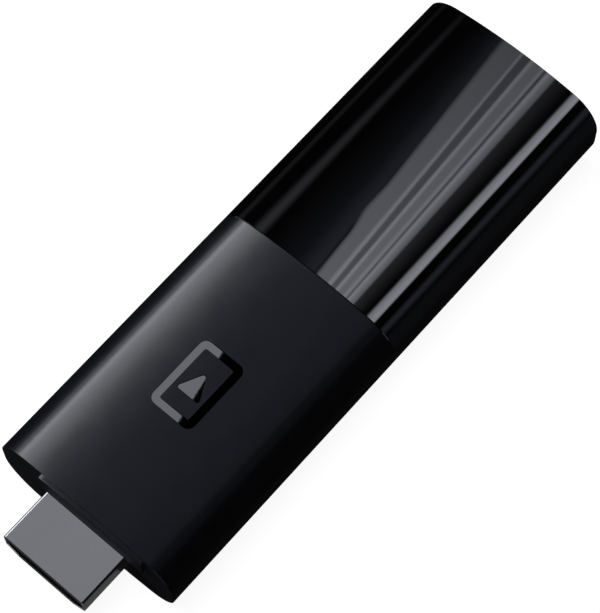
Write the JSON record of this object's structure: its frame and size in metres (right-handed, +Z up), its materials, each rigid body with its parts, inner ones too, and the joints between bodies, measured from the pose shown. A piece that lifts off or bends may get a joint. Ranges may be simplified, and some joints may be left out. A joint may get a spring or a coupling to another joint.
{
  "type": "streaming media player",
  "caption": "Slim stick-shaped streaming media player: half matte, half gloss black housing with a metal video plug at one end and a power socket in one flank.",
  "frame": {"origin": "on the resting plane, under the middle of the whole object's box", "axes": "+X from the video plug towards the gloss end, +Z up through the face with the symbol, +Y towards the flank with the power socket"},
  "size_m": [0.0944, 0.0296, 0.0149],
  "materials": {
    "matte_housing": "fine satin moulded texture",
    "gloss_housing": "high gloss",
    "gloss_symbol": "high gloss inlay",
    "plug_metal": "satin plated sheet",
    "black_insulator": "moulded",
    "gold_contacts": "gold plated",
    "circuit_board": "solder resist",
    "frame_plastic": "moulded",
    "screw_steel": "zinc plated",
    "chip_package": "moulded epoxy",
    "inductor_ferrite": "pressed ferrite",
    "shield_metal": "tin plated sheet",
    "capacitor_ceramic": "ceramic",
    "thermal_pad": "soft silicone",
    "spreader_aluminium": "rolled plate",
    "foam": "open cell foam"
  },
  "bodies": {
    "root": {"matte_sleeve": "matte_housing", "gloss_cap": "gloss_housing", "plug_collar": "matte_housing", "symbol_frame": "gloss_symbol", "symbol_triangle": "gloss_symbol", "video_plug_shell": "plug_metal", "video_plug_insulator": "black_insulator", "video_plug_rear_block": "black_insulator", "video_plug_upper_contacts": "gold_contacts", "video_plug_lower_contacts": "gold_contacts", "video_plug_ground_clips": "plug_metal", "power_socket_shell": "plug_metal", "power_socket_insulator": "black_insulator", "power_socket_contacts": "gold_contacts", "main_circuit_board": "circuit_board", "inner_frame": "frame_plastic", "frame_screws": "screw_steel", "processor_chip": "chip_package", "memory_chips": "chip_package", "storage_chip": "chip_package", "power_chip": "chip_package", "radio_chip": "chip_package", "power_inductors": "inductor_ferrite", "clock_crystals": "shield_metal", "ceramic_capacitors": "capacitor_ceramic", "chip_resistors": "chip_package", "shield_frame": "shield_metal", "shield_lid": "shield_metal", "radio_shield": "shield_metal", "thermal_pad_processor": "thermal_pad", "thermal_pad_upper": "thermal_pad", "thermal_pad_lower": "thermal_pad", "heat_spreader_upper": "spreader_aluminium", "heat_spreader_lower": "spreader_aluminium", "antenna_left": "gold_contacts", "antenna_right": "gold_contacts", "end_cushion": "foam"}
  },
  "joints": []
}
